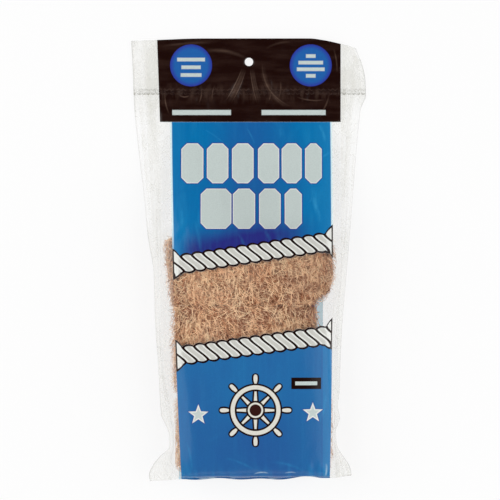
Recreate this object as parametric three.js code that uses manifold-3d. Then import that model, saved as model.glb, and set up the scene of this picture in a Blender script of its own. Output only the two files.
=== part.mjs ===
// A sealed clear film bag that holds three folded pads of bronze wool.
// It lies on its back: X across the bag, Y towards the header with the hang hole, Z up out of the printed front.
import * as THREE from "three";
import { mergeVertices } from "three/addons/utils/BufferGeometryUtils.js";
import Module from "manifold-3d";

const wasm = await Module();
wasm.setup();

// Driving dimensions, in millimetres. The pads follow each other up the bag, each shifted across it.
const PAD_HEIGHT = 32;
const PADS = [
  { name: "pad_lower", length: 116, width: 63, shift: 2.5 },
  { name: "pad_middle", length: 107, width: 64, shift: -3 },
  { name: "pad_upper", length: 130, width: 55, shift: 0 },
];
const PAD_GAP = 0.6; // between neighbouring pads
const FILM = 0.15; // one wall of the bag
const CLEARANCE = 0.35; // between wool and film, all round
const EAR_FILM = 17; // flat film beside the swell at the bottom corners
const NECK_FILM = 4.5; // the same beside the lower pad, where the bag draws in most
const SIDE_FILM = 7; // the same beside the other pads
const HEADER_FILM = 22; // the same at the seal and the header
const BOTTOM_LAP = 3.5; // sealed film below the pads
const HEAD_SPACE = 102; // empty film between the pads and the seal
const SEAL = 5; // width of the crimped seal
const HEADER = 38; // flat header above the seal
const HOLE_DIAMETER = 6.35; // hang hole
const HOLE_DROP = 18; // from the top edge to the hole's centre
const HOLE_SHIFT = -1.5; // of the hole across the header
const VENT_DIAMETER = 6; // air vent in the back film
const ROUNDING = 3; // exponent of the pads' rounded form: 2 is an ellipse, and more is boxier
const FLAT_SHARE = 1.04; // how far past the ground the back film would swell, which lays its middle flat

// Steps of the faceted surfaces.
const SIDE_STEPS = 9; // from the middle to the side of the swell
const END_STEPS = 8; // over each rounded end of the swell
const PAD_ROWS = 10; // from the lower pad's middle to the upper pad's middle
const HEAD_STEPS = 6; // between the pads and the seal
const PAD_STEPS = { round: 28, upright: 16 };
const HOLE_STEPS = 24;

// Derived sizes along the bag, from its bottom edge, and above the ground.
const wall = CLEARANCE + FILM;
const padsStart = BOTTOM_LAP + wall;
const padsEnd = PADS.reduce((sum, pad) => sum + pad.width + PAD_GAP, padsStart) - PAD_GAP;
const sealStart = padsEnd + HEAD_SPACE;
const sealEnd = sealStart + SEAL;
const bagLength = sealEnd + HEADER;
const midHeight = wall + PAD_HEIGHT / 2;

// The swell at the middle of each pad: its place along the bag, its middle across it and its reach to each side.
const swell = PADS.map(({ length, shift }, i) => {
  const before = PADS.slice(0, i).reduce((sum, pad) => sum + pad.width + PAD_GAP, padsStart);
  const beside = (PADS[i - 1]?.length ?? 0) + (PADS[i + 1]?.length ?? 0);
  return { s: before + PADS[i].width / 2, middle: shift, reach: Math.max(length, beside / 2) / 2 };
});
const first = swell[0];
const last = swell.at(-1);
const firstHalf = first.s - padsStart;
const lastHalf = padsEnd - last.s;

// Flat film beside the swell, along the bag.
const fins = [
  { s: 0, width: EAR_FILM },
  { s: BOTTOM_LAP, width: EAR_FILM },
  { s: first.s, width: NECK_FILM },
  { s: first.s + firstHalf + PAD_GAP / 2, width: SIDE_FILM },
  { s: last.s, width: SIDE_FILM },
  { s: sealStart, width: HEADER_FILM },
];

// A rise from 0 to 1 as x goes from a to b, level at both ends.
function ease(a, b, x) {
  return THREE.MathUtils.smoothstep(x, a, b);
}

// The value named `key` at s, eased from station to station and level past the ends.
function along(stations, key, s) {
  const next = stations.findIndex((station) => station.s > s);
  if (next < 0) return stations.at(-1)[key];
  if (next === 0) return stations[0][key];
  const from = stations[next - 1];
  const to = stations[next];
  return THREE.MathUtils.lerp(from[key], to[key], ease(from.s, to.s, s));
}

// Height of a rounded form at q, which runs from 0 in the middle to 1 at its edge.
function round(q) {
  return Math.max(0, 1 - Math.abs(q) ** ROUNDING) ** (1 / ROUNDING);
}

// How full the bag is at s along its length, from 0 to 1, where its swell reaches `margin` past the pads.
function fullness(s, margin) {
  if (s < first.s) return round((first.s - s) / (firstHalf + margin));
  if (s > last.s) return round((s - last.s) / (lastHalf + margin));
  return 1;
}

// Height of the side folds: level beside the pads, then down to the ground at the seal.
function foldHeight(s) {
  return THREE.MathUtils.lerp(midHeight, FILM, ease(padsEnd, sealStart, s));
}

// Front and back film at x and s, with the swell `margin` past the wool and `least` half the gap at its edge.
function filmHeights(x, s, margin, least) {
  const fold = foldHeight(s);
  const ground = wall - margin;
  const tall = PAD_HEIGHT / 2 + margin;
  const across = round((x - along(swell, "middle", s)) / (along(swell, "reach", s) + margin));
  const slope = s > last.s ? 1 - ease(last.s, sealStart, s) : 0;
  const up = tall * Math.max(fullness(s, margin), slope);
  const down = s < first.s ? tall * fullness(s, margin) : fold - ground;
  const front = fold + least + Math.max(0, up - least) * across;
  const back = fold - least - Math.max(0, down * FLAT_SHARE - least) * across;
  return { front, back: Math.min(Math.max(ground, back), front - 2 * least) };
}

// Places from 0 to 1 that close up towards 1, evenly spaced round the rounded form.
function roundSteps(count) {
  return Array.from({ length: count + 1 }, (_, i) => Math.sin((i / count) * (Math.PI / 2)) ** (2 / ROUNDING));
}

// Stations along the swell, from the lower end of the pads to the seal, with the ends `margin` past the wool.
function swellStations(margin) {
  const lower = roundSteps(END_STEPS).map((q) => first.s - q * (firstHalf + margin));
  const upper = roundSteps(END_STEPS).map((q) => last.s + q * (lastHalf + margin));
  const inside = (from, to, count) =>
    Array.from({ length: count - 1 }, (_, i) => THREE.MathUtils.lerp(from, to, (i + 1) / count));
  const beside = inside(first.s, last.s, PAD_ROWS);
  const head = inside(padsEnd + margin, sealStart, HEAD_STEPS);
  return [...lower.reverse(), ...beside, ...upper, ...head, sealStart];
}

// Places across the swell at s, from its left edge to its right edge, which lie `margin` past the wool.
function swellPlaces(s, margin) {
  const reach = along(swell, "reach", s) + margin;
  const right = roundSteps(SIDE_STEPS).map((q) => q * reach);
  const left = right.slice(1).map((x) => -x);
  return [...left.reverse(), ...right].map((x) => along(swell, "middle", s) + x);
}

// A closed solid between a front and a back surface. `rows` holds rows of points, each with x, y, front and back.
function solidBetween(rows) {
  const across = rows[0].length;
  const layer = across * rows.length;
  const positions = [];
  for (const side of ["front", "back"]) {
    for (const row of rows) {
      for (const point of row) positions.push(point.x, point.y, point[side]);
    }
  }
  const index = [];
  const quad = (a, b, c, d) => index.push(a, b, c, a, c, d);
  for (let j = 0; j < rows.length - 1; j++) {
    for (let i = 0; i < across - 1; i++) {
      const a = j * across + i;
      quad(a, a + 1, a + across + 1, a + across);
      quad(layer + a, layer + a + across, layer + a + across + 1, layer + a + 1);
    }
    const left = j * across;
    const right = left + across - 1;
    quad(left, left + across, layer + left + across, layer + left);
    quad(right, layer + right, layer + right + across, right + across);
  }
  for (let i = 0; i < across - 1; i++) {
    const top = layer - across + i;
    quad(i, layer + i, layer + i + 1, i + 1);
    quad(top, top + 1, layer + top + 1, layer + top);
  }
  const geometry = new THREE.BufferGeometry();
  geometry.setAttribute("position", new THREE.Float32BufferAttribute(positions, 3));
  geometry.setIndex(index);
  return solidOf(geometry);
}

// A geometry as a solid that can be cut.
function solidOf(geometry) {
  const bare = geometry.clone().deleteAttribute("normal").deleteAttribute("uv");
  const merged = mergeVertices(bare, 1e-4);
  return new wasm.Manifold(
    new wasm.Mesh({
      numProp: 3,
      vertProperties: new Float32Array(merged.attributes.position.array),
      triVerts: new Uint32Array(merged.index.array),
    }),
  );
}

// A cut solid as a geometry again.
function geometryOf(solid) {
  const mesh = solid.getMesh();
  const geometry = new THREE.BufferGeometry();
  geometry.setAttribute("position", new THREE.BufferAttribute(mesh.vertProperties, 3));
  geometry.setIndex(new THREE.BufferAttribute(mesh.triVerts, 1));
  geometry.computeVertexNormals();
  return geometry;
}

// A drill along Z at x and s, as a solid.
function drill(diameter, x, s, low, high) {
  const geometry = new THREE.CylinderGeometry(diameter / 2, diameter / 2, high - low, HOLE_STEPS);
  geometry.rotateX(Math.PI / 2).translate(x, s, (low + high) / 2);
  return solidOf(geometry);
}

// The bag: film outside, less the space inside, the hang hole and the vent.
function bagGeometry() {
  const outside = [0, ...swellStations(wall), sealEnd, bagLength].map((s) => {
    const places = swellPlaces(s, wall);
    const fin = along(fins, "width", s);
    const row = [places[0] - fin, ...places, places.at(-1) + fin];
    return row.map((x) => ({ x, y: s, ...filmHeights(x, s, wall, FILM) }));
  });
  const inside = swellStations(CLEARANCE).map((s) =>
    swellPlaces(s, CLEARANCE).map((x) => ({ x, y: s, ...filmHeights(x, s, CLEARANCE, FILM / 2) })),
  );
  const above = PAD_HEIGHT;
  const hole = drill(HOLE_DIAMETER, HOLE_SHIFT, bagLength - HOLE_DROP, -above, above);
  const vent = drill(VENT_DIAMETER, 0, sealStart - HEAD_SPACE / 3, -above, FILM * 2);
  return geometryOf(solidBetween(outside).subtract(solidBetween(inside)).subtract(hole).subtract(vent));
}

// A pad: a rounded block, from a sphere whose points are pushed out to |x|^n + |y|^n + |z|^n = 1.
function padGeometry(length, width) {
  const geometry = new THREE.SphereGeometry(1, PAD_STEPS.round, PAD_STEPS.upright);
  const at = geometry.getAttribute("position");
  const out = (p, size) => (Math.sign(p) * Math.abs(p) ** (2 / ROUNDING) * size) / 2;
  for (let i = 0; i < at.count; i++) {
    at.setXYZ(i, out(at.getX(i), length), out(at.getY(i), width), out(at.getZ(i), PAD_HEIGHT));
  }
  geometry.computeVertexNormals();
  return geometry;
}

const filmFinish = new THREE.MeshStandardMaterial({
  color: 0x2a6cb4,
  roughness: 0.25,
  metalness: 0,
  transparent: true,
  opacity: 0.6,
});
const woolFinish = new THREE.MeshStandardMaterial({ color: 0xb98a63, roughness: 0.45, metalness: 0.7 });

const pack = new THREE.Group();
pack.name = "bronze_wool_pack";
const contents = new THREE.Group();
contents.position.y = -bagLength / 2;
pack.add(contents);

const bag = new THREE.Mesh(bagGeometry(), filmFinish);
bag.name = "bag";
contents.add(bag);

PADS.forEach(({ name, length, width, shift }, i) => {
  const pad = new THREE.Mesh(padGeometry(length, width), woolFinish);
  pad.name = name;
  pad.position.set(shift, swell[i].s, midHeight);
  contents.add(pad);
});

export default pack;
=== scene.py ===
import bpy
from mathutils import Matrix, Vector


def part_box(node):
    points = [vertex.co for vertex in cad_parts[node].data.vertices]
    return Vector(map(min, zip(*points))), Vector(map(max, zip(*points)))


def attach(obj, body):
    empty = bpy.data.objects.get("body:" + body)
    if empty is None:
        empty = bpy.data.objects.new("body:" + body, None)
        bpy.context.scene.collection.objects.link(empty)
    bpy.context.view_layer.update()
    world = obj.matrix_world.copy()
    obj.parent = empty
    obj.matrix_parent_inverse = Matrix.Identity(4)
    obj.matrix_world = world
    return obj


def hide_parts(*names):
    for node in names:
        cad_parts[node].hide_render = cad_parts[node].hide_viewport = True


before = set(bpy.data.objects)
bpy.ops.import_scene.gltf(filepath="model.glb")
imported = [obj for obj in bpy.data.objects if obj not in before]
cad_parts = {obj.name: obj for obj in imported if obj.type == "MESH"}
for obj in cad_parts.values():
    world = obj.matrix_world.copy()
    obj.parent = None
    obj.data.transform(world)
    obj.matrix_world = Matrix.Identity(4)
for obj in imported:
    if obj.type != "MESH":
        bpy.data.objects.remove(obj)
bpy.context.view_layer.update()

# A clear printed film bag of bronze wool pads, lying on its back with its printed front up.
# All sizes below are in millimetres, in the frame's own axes, unless they say otherwise.
import math

import bpy
import numpy as np

MM = 0.001


def box_mm(node):
    """Lowest and highest corner of a node, in millimetres."""
    low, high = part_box(node)
    return np.array(low) / MM, np.array(high) / MM


bag_low, bag_high = box_mm("bag")
PAD_NODES = ["pad_lower", "pad_middle", "pad_upper"]
pad_boxes = [box_mm(node) for node in PAD_NODES]

# Bag: places along it, and the room that the film leaves round the wool.
HEADER_LENGTH = 38.0
SEAL_WIDTH = 5.0
BOTTOM_LAP = 3.5
WOOL_ROOM = 1.9
FILM_GAP = 0.16
ROUNDING = 3.0
seal_top = bag_high[1] - HEADER_LENGTH
seal_low = seal_top - SEAL_WIDTH
bottom = bag_low[1]
hole_middle = np.array([-1.5, bag_high[1] - 18.0])
HOLE_RADIUS = 3.175

# Film outline: places along the bag, and the film's edge there.
LEFT_EDGE = np.array([
    [-167, -75.4], [-161, -76.3], [-154, -73.4], [-147, -67.9], [-140, -61.0], [-131, -61.3], [-124, -63.8],
    [-116, -67.2], [-87, -68.9], [-42, -71.8], [-12, -72.6], [18, -77.2], [48, -80.2], [78, -83.9],
    [116, -87.6], [140, -88.5], [167, -89.8],
])
RIGHT_EDGE = np.array([
    [-167, 74.6], [-161, 75.2], [-154, 73.6], [-147, 69.0], [-139, 64.6], [-129, 63.6], [-118, 66.4],
    [-109, 65.0], [-100, 66.1], [-79, 66.8], [-49, 68.3], [-4, 72.1], [41, 75.8], [86, 79.6], [113, 82.6],
    [123, 86.2], [135, 85.8], [148, 84.8], [158, 82.8], [167, 78.0],
])
TOP_EDGE = np.array([
    [-92, 163.8], [-70, 164.6], [-36, 165.7], [44, 165.7], [54, 164.5], [67, 161.7], [78, 158.6], [83, 154.5],
    [90, 150.0],
])
BOTTOM_EDGE = np.array([
    [-78, -166.2], [-54, -164.6], [-20, -163.9], [15, -164.3], [45, -162.6], [60, -163.4], [77, -161.0],
])


# Curves and steps on whole arrays.
def rise(low, high, x):
    """Goes smoothly from 0 at low to 1 at high, level at both ends."""
    t = np.clip((x - low) / (high - low), 0.0, 1.0)
    return t * t * (3.0 - 2.0 * t)


def curve_through(points, x):
    """Smooth curve through points: a cubic between each two, with slopes that never overshoot them."""
    places, values = points[:, 0], points[:, 1]
    steps = np.diff(places)
    slopes = np.diff(values) / steps
    inner = np.where(slopes[1:] * slopes[:-1] > 0.0,
                     2.0 * slopes[1:] * slopes[:-1] / (slopes[1:] + slopes[:-1] + 1e-12), 0.0)
    tangents = np.concatenate([slopes[:1], inner, slopes[-1:]])
    at = np.clip(np.asarray(x, float), places[0], places[-1])
    k = np.clip(np.searchsorted(places, at, side="right") - 1, 0, len(steps) - 1)
    t = (at - places[k]) / steps[k]
    return (values[k] * (1 + 2 * t) * (1 - t) ** 2 + tangents[k] * steps[k] * t * (1 - t) ** 2
            + values[k + 1] * t * t * (3 - 2 * t) - tangents[k + 1] * steps[k] * t * t * (1 - t))


def round_height(q):
    """Height of a rounded form, from 1 in its middle to 0 at its edge: the n-th root of 1 less q to the n."""
    return np.maximum(0.0, 1.0 - np.abs(q) ** ROUNDING) ** (1.0 / ROUNDING)


def ripple(points, waves, seed):
    """Soft random lumps, about -1 to 1: a sum of sine waves of the given lengths, in random directions."""
    draw = np.random.default_rng(seed)
    total = np.zeros(points.shape[:-1])
    for length in waves:
        way = draw.normal(size=points.shape[-1])
        way *= 2.0 * math.pi / length / np.linalg.norm(way)
        total += np.sin(points @ way + draw.uniform(0.0, 2.0 * math.pi))
    return total / math.sqrt(len(waves))


def creases(x, y, lines):
    """Sum of soft ridges. Each has a middle, a direction, a half length, a width, a height and a bend.
    Its height falls off as a bell with the distance from its bent line, and to nothing at its two ends."""
    total = np.zeros(np.broadcast(x, y).shape)
    for middle_x, middle_y, turn, half, width, height, bend in lines:
        along = (x - middle_x) * math.cos(turn) + (y - middle_y) * math.sin(turn)
        beside = (y - middle_y) * math.cos(turn) - (x - middle_x) * math.sin(turn)
        beside = beside - bend * along * along / half
        fade = np.maximum(0.0, 1.0 - (along / half) ** 2) ** 2
        total += height * fade * np.exp(-(beside / width) ** 2)
    return total


# Meshes.
def make_mesh(name, points, faces, finishes, face_finish=None, maps=(), marks=(), smooth=None):
    """A mesh from points in millimetres and rows of corner numbers; maps are UV layers, marks are attributes.
    Faces are smooth, apart from those that smooth names as facets."""
    mesh = bpy.data.meshes.new(name)
    corners = np.concatenate([f.ravel() for f in faces]).astype(np.int32)
    counts = np.concatenate([np.full(len(f), f.shape[1]) for f in faces]).astype(np.int32)
    mesh.vertices.add(len(points))
    mesh.vertices.foreach_set("co", (points * MM).astype(np.float32).ravel())
    mesh.loops.add(len(corners))
    mesh.loops.foreach_set("vertex_index", corners)
    mesh.polygons.add(len(counts))
    mesh.polygons.foreach_set("loop_start", np.concatenate([[0], np.cumsum(counts)[:-1]]).astype(np.int32))
    mesh.polygons.foreach_set("loop_total", counts)
    mesh.polygons.foreach_set("use_smooth", np.ones(len(counts), bool) if smooth is None else smooth)
    for finish in finishes:
        mesh.materials.append(finish)
    if face_finish is not None:
        mesh.polygons.foreach_set("material_index", face_finish.astype(np.int32))
    for label, places in maps:
        layer = mesh.uv_layers.new(name=label)
        layer.data.foreach_set("uv", places.astype(np.float32).ravel())
    for label, values in marks:
        layer = mesh.attributes.new(label, "FLOAT", "POINT")
        layer.data.foreach_set("value", values.astype(np.float32).ravel())
    mesh.update(calc_edges=True)
    mesh.validate()
    piece = bpy.data.objects.new(name, mesh)
    bpy.context.scene.collection.objects.link(piece)
    return piece


def cells(grid):
    """Values at each grid cell's corners, anticlockwise where columns run right and rows run up."""
    return np.stack([grid[..., :-1, :-1], grid[..., :-1, 1:], grid[..., 1:, 1:], grid[..., 1:, :-1]], -1)


def border(numbers):
    """Point numbers round a grid's edge, anticlockwise."""
    return np.concatenate([numbers[0, :-1], numbers[:-1, -1], numbers[-1, :0:-1], numbers[:0:-1, 0]])


# Shader maths.
def ink(red, green, blue):
    """A colour as seen on a screen, 0 to 255, as the linear colour that the shaders use."""
    seen = np.array([red, green, blue]) / 255.0
    linear = np.where(seen <= 0.04045, seen / 12.92, ((seen + 0.055) / 1.055) ** 2.4)
    return (*linear.tolist(), 1.0)


class Value:
    """A number in a material. Python's operators on it add Math nodes."""

    def __init__(self, finish, socket):
        self.finish = finish
        self.socket = socket

    def math(self, operation, *others, clamp=False):
        settings = {"operation": operation, "use_clamp": clamp}
        node = self.finish.node("ShaderNodeMath", settings, dict(enumerate((self, *others))))
        return Value(self.finish, node.outputs[0])

    def __add__(self, other):
        return self.math("ADD", other)

    def __sub__(self, other):
        return self.math("SUBTRACT", other)

    def __mul__(self, other):
        return self.math("MULTIPLY", other)

    def __truediv__(self, other):
        return self.math("DIVIDE", other)

    def __abs__(self):
        return self.math("ABSOLUTE")

    def __rsub__(self, other):
        node = self.finish.node("ShaderNodeMath", {"operation": "SUBTRACT"}, {0: other, 1: self})
        return Value(self.finish, node.outputs[0])

    __radd__ = __add__
    __rmul__ = __mul__

    def least(self, other):
        return self.math("MINIMUM", other)

    def most(self, other):
        return self.math("MAXIMUM", other)

    def between(self, low, high):
        """How far the value lies inside a low and a high limit; negative outside them."""
        return (self - low).least(high - self)

    def sine(self):
        return self.math("SINE")

    def over(self, edge, soft=0.14):
        """1 where the value is over the edge and 0 where it is under, with a soft step between."""
        return self.math("MULTIPLY_ADD", 0.5 / soft, 0.5 - 0.5 * edge / soft, clamp=True)

    def under(self, edge, soft=0.14):
        """1 where the value is under the edge and 0 where it is over, with a soft step between."""
        return self.math("MULTIPLY_ADD", -0.5 / soft, 0.5 + 0.5 * edge / soft, clamp=True)


class Finish:
    """A material, or the world, and its nodes."""

    def __init__(self, owner):
        owner.use_nodes = True
        self.owner = owner
        self.tree = owner.node_tree
        self.tree.nodes.clear()

    def node(self, kind, settings, sockets):
        """Any node: its settings are set first, then each socket's value or link."""
        node = self.tree.nodes.new(kind)
        for label, setting in settings.items():
            setattr(node, label, setting)
        for label, given in sockets.items():
            if isinstance(given, Value):
                given = given.socket
            if isinstance(given, bpy.types.NodeSocket):
                self.tree.links.new(given, node.inputs[label])
            else:
                node.inputs[label].default_value = given
        return node

    def place(self):
        """Object coordinates in millimetres: a vector socket, and the places across and along as values."""
        spot = self.node("ShaderNodeTexCoord", {}, {}).outputs["Object"]
        scaled = self.node("ShaderNodeVectorMath", {"operation": "SCALE"}, {0: spot, 3: 1.0 / MM})
        parts = self.node("ShaderNodeSeparateXYZ", {}, {0: scaled.outputs[0]})
        return scaled.outputs[0], Value(self, parts.outputs[0]), Value(self, parts.outputs[1])

    def mark(self, label):
        """A piece's own attribute."""
        return Value(self, self.node("ShaderNodeAttribute", {"attribute_name": label}, {}).outputs["Fac"])

    def noise(self, vector, stretch, detail=3.0, roughness=0.5):
        """Noise from 0 to 1 whose grains measure about stretch across, along and up."""
        inverse = tuple(1.0 / s for s in stretch)
        sized = self.node("ShaderNodeVectorMath", {"operation": "MULTIPLY"}, {0: vector, 1: inverse})
        sockets = {"Vector": sized.outputs[0], "Scale": 1.0, "Detail": detail, "Roughness": roughness}
        return Value(self, self.node("ShaderNodeTexNoise", {}, sockets).outputs["Fac"])

    def mix(self, share, first, second):
        """A colour between two colours."""
        settings = {"data_type": "RGBA", "blend_type": "MIX"}
        return self.node("ShaderNodeMix", settings, {0: share, 6: first, 7: second}).outputs[2]

    def bump(self, height, distance, strength=1.0):
        """A normal roughened by a height in millimetres."""
        sockets = {"Height": height, "Distance": distance * MM, "Strength": strength}
        return self.node("ShaderNodeBump", {}, sockets).outputs[0]

    def surface(self, sockets):
        """The finished shader."""
        shader = self.node("ShaderNodeBsdfPrincipled", {}, sockets)
        self.node("ShaderNodeOutputMaterial", {}, {"Surface": shader.outputs[0]})
        return self.owner


def new_finish(name):
    """An empty material."""
    return Finish(bpy.data.materials.new(name))


# Print layout on the film.
HEADER_LEFT, HEADER_RIGHT, HEADER_FOOT = -68.2, 67.3, 103.1
HEADER_LEAN = 0.035
DISC_RADIUS = 15.7
DISCS = [((-44.9, 145.5), [(4.4, 10.4), (-1.4, 7.2), (-7.2, 7.8)]),
         ((44.85, 145.5), [(7.0, 3.6), (2.1, 9.2), (-2.9, 10.4), (-7.8, 3.6)])]
BAR_HALF = 1.35
HEADER_BARS = [(-59.0, -15.0), (8.0, 56.0)]
HEADER_BAR_HEIGHT = 110.2
HEADER_BAR_HALF = 1.9
# Folds on the header, each given by its two ends, bend, width and strength: they roughen the bump and are
# painted as light brown highlights.
HEADER_FOLDS = [
    ((-6.5, 143.5), (-19.5, 118.0), 0.8, 0.6, 0.62), ((-3.8, 142.5), (-15.0, 117.0), 1.0, 0.6, 0.5),
    ((-0.5, 143.0), (4.6, 117.0), -0.7, 0.6, 0.55), ((2.0, 143.0), (7.4, 119.0), -0.5, 0.5, 0.3),
    ((8.4, 146.6), (29.3, 115.0), -6.0, 0.7, 0.55), ((9.5, 143.5), (26.0, 114.0), -4.0, 0.9, 0.35),
    ((-54.7, 124.0), (-45.7, 123.0), -1.6, 0.8, 0.5), ((34.0, 122.0), (55.6, 120.0), -1.6, 0.8, 0.45),
    ((-64.3, 128.5), (-61.0, 108.5), -1.5, 0.8, 0.4), ((-34.0, 156.5), (-2.0, 150.0), 2.6, 1.8, 0.3),
    ((-66.0, 160.0), (-30.0, 162.5), 0.8, 1.2, 0.2), ((11.0, 158.0), (30.0, 163.0), 1.5, 1.2, 0.22),
    ((-37.0, 129.0), (-39.0, 117.0), 0.8, 0.8, 0.35), ((-27.0, 131.0), (-29.0, 119.0), -0.8, 0.8, 0.3),
    ((15.0, 131.0), (13.0, 118.0), 0.9, 0.8, 0.32), ((22.0, 134.0), (20.5, 120.0), 1.0, 0.9, 0.3),
    ((62.0, 158.0), (64.5, 140.0), 0.8, 0.8, 0.35), ((58.5, 124.0), (51.0, 108.0), 1.4, 0.9, 0.3),
    ((-5.0, 143.5), (-17.4, 117.0), 0.9, 2.4, 0.3), ((0.8, 143.5), (6.0, 118.0), -0.6, 2.0, 0.26),
    ((8.8, 145.5), (28.0, 114.0), -5.0, 2.6, 0.26),
]
# Soft wrinkles in the blue film, drawn only as painted highlights.
PANEL_FOLD_GLINTS = [
    ((51.0, 101.5), (55.5, 88.0), 0.8, 1.6, 0.6), ((22.6, 102.0), (23.6, 89.0), -0.5, 3.0, 0.3),
    ((-35.9, 98.0), (-19.3, 86.5), 0.6, 0.7, 0.4), ((-3.4, 99.0), (2.6, 86.5), 0.5, 0.9, 0.4),
    ((46.0, 54.5), (52.8, 27.0), -1.2, 2.2, 0.55), ((47.5, 53.0), (43.5, 42.0), 0.6, 1.2, 0.4),
    ((58.8, 80.5), (52.4, 76.5), 0.4, 1.2, 0.5), ((-36.8, 48.0), (-40.4, 20.0), 1.0, 2.6, 0.35),
    ((-42.0, 30.0), (-38.0, 6.0), 0.8, 2.0, 0.35), ((-10.0, 20.0), (-4.0, 8.0), 0.5, 1.8, 0.25),
    ((-54.0, 44.0), (-50.0, 12.0), 0.8, 2.4, 0.3), ((10.0, 22.0), (15.0, 12.0), 0.4, 1.8, 0.25),
    ((56.0, -100.0), (51.0, -122.0), 1.0, 1.4, 0.4), ((-20.0, -148.0), (4.0, -158.0), 1.5, 1.2, 0.35),
    ((14.0, -151.0), (40.0, -158.0), 1.8, 1.4, 0.35), ((-48.0, -136.0), (-44.0, -158.0), 0.8, 1.4, 0.3),
]
BOTTOM_GLINTS = [
    ((-40.0, -164.4), (-25.0, -163.2), 0.7, 1.0, 1.0), ((-16.0, -163.6), (-3.0, -163.4), 0.6, 0.9, 0.9),
    ((2.0, -160.2), (13.5, -159.6), 1.2, 0.7, 0.5), ((25.0, -159.4), (34.0, -159.2), 0.7, 0.6, 0.35),
    ((34.0, -163.0), (50.0, -162.2), 0.5, 1.0, 1.0), ((56.2, -152.0), (55.4, -163.0), 0.6, 1.0, 0.5),
    ((-54.0, -165.0), (-46.0, -164.6), 0.3, 0.7, 0.5), ((12.0, -164.2), (24.0, -163.4), 0.4, 0.8, 0.7),
]
CRIMP_PITCH = 1.75
FILM_BEND = 1.48
FILM_GLOSS = 0.13
SIDE_VEIL = 0.15
SIDE_VEIL_TOP = 26.0
SIDE_FOLD, SIDE_FOLD_TOP = 52.8, -62.0
TILE_ROWS = [
    (57.0, 87.0, [(-52.1, -35.6), (-33.0, -16.9), (-14.2, 2.0), (5.3, 21.1), (23.0, 38.0), (40.5, 53.0)]),
    (22.9, 53.0, [(-37.5, -14.6), (-13.5, 3.1), (6.1, 22.2), (25.2, 38.0)]),
]
TILE_CHAMFER = 4.2
BANDS = [(4.5, 0.152, 2.6), (-64.5, 0.138, 4.3)]
BAND_HALF = 6.35
STRAND_PITCH = 8.35
STRAND_LEAN = 4.1
STRAND_BULGE = 1.6
FLARE_LENGTH, FLARE_HEIGHT = 5.6, 5.0
LABEL_BOX = (30.1, 52.35, -96.6, -88.0)
LABEL_FRAME = 2.9
WHEEL = (3.4, -112.3)
SPOKE_HALF, SPOKE_TAPER, SPOKE_END = 1.75, 0.07, 14.0
RIM_MIDDLE, RIM_HALF = 17.05, 1.55
HANDLE_START, HANDLE_BELLY, HANDLE_END = 18.0, 23.6, 25.6
HANDLE_HALF, HANDLE_THIN, HANDLE_CURVE = 1.5, 0.6, 0.05
HUB_RADIUS, CORE_RADIUS = 5.75, 4.4
STARS = [(-39.2, -115.8), (46.1, -114.2)]
STAR_RADIUS = 7.8
STAR_WAIST = 0.42
BACK_HEADER_HALF = 66.0
BACK_FIELD_HALF = 54.0
BACK_BORDER_WIDTH = 5.5
BACK_PANEL_HALF, BACK_PANEL_LOW, BACK_PANEL_HIGH = 44.0, -120.0, 60.0
OUTLINE = 1.3
BAND_OUTLINE = 1.5

BLACK_INK = ink(28, 9, 4)
BROWN_SHEEN = ink(70, 50, 42)
PANEL_BLUE = ink(2, 115, 176)
PANEL_LOW = ink(38, 109, 168)
PANEL_DEEP = ink(44, 48, 138)
PANEL_LIGHT = ink(52, 154, 206)
DISC_BLUE = ink(34, 99, 170)
DISC_RIM = ink(46, 58, 158)
PALE_INK = ink(198, 209, 206)
WHITE_INK = ink(232, 233, 228)
STRAND_GREY = ink(203, 203, 196)
CREAM_INK = ink(224, 221, 211)
CLEAR_GREY = ink(226, 225, 217)
SEAM_GREY = ink(120, 118, 102)
GLINT_WHITE = ink(250, 250, 248)
BACK_BORDER_LIT = ink(84, 212, 255)
BROWN_CORE = ink(52, 24, 20)
FOLD_HIGHLIGHT = ink(126, 102, 88)
EDGE_LIGHT = ink(226, 248, 250)
DARK_SPECK_AND_SHADE = ink(24, 26, 44)
WOOL_LIGHT = ink(255, 222, 180)
WOOL_BROWN = ink(224, 138, 86)
WOOL_COPPER = ink(240, 150, 90)
WOOL_SHADE = ink(120, 62, 30)


def panel_edges(y):
    """Left and right edge of the blue panel at y: bent lines that draw in down the bag, round the wool."""
    down = (HEADER_FOOT - y) / 265.0
    left = down * 3.4 + down * down * 5.2 - 60.6
    right = 61.2 - (down - 0.3) * (down - 0.3) * 4.5
    return left, right


def from_middle(x, y, middle):
    """Steps across and along from a middle, and the distance from it."""
    dx, dy = x - middle[0], y - middle[1]
    return dx, dy, (dx * dx + dy * dy).math("SQRT")


def band_shapes(x, y, foot, slope, start, near_end):
    """A twisted band of strands on a slanted line: body, dark lines, and the way off a strand's middle.
    Strands are stripes of even pitch that lean over in an S across the band, and bulge at its edges."""
    turn = math.atan(slope)
    along = x * math.cos(turn) + (y - foot) * math.sin(turn)
    across = (y - foot) * math.cos(turn) - x * math.sin(turn)
    lean = (across * (math.pi / 2.0 / (BAND_HALF + 1.0))).sine() * STRAND_LEAN + across * 0.14
    phase = ((along + lean - start) / STRAND_PITCH).math("FRACT")
    off = abs(phase - 0.5) * 2.0
    flare = (1.0 - near_end / FLARE_LENGTH).most(0.0) * FLARE_HEIGHT
    half = BAND_HALF - off * off * STRAND_BULGE + flare
    reach = abs(across) - half
    body = reach.under(0.0)
    seam = off.over(0.75, 0.05).most(near_end.under(1.1))
    lines = reach.under(BAND_OUTLINE) * (1.0 - body * (1.0 - seam))
    return body, lines, off


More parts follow.
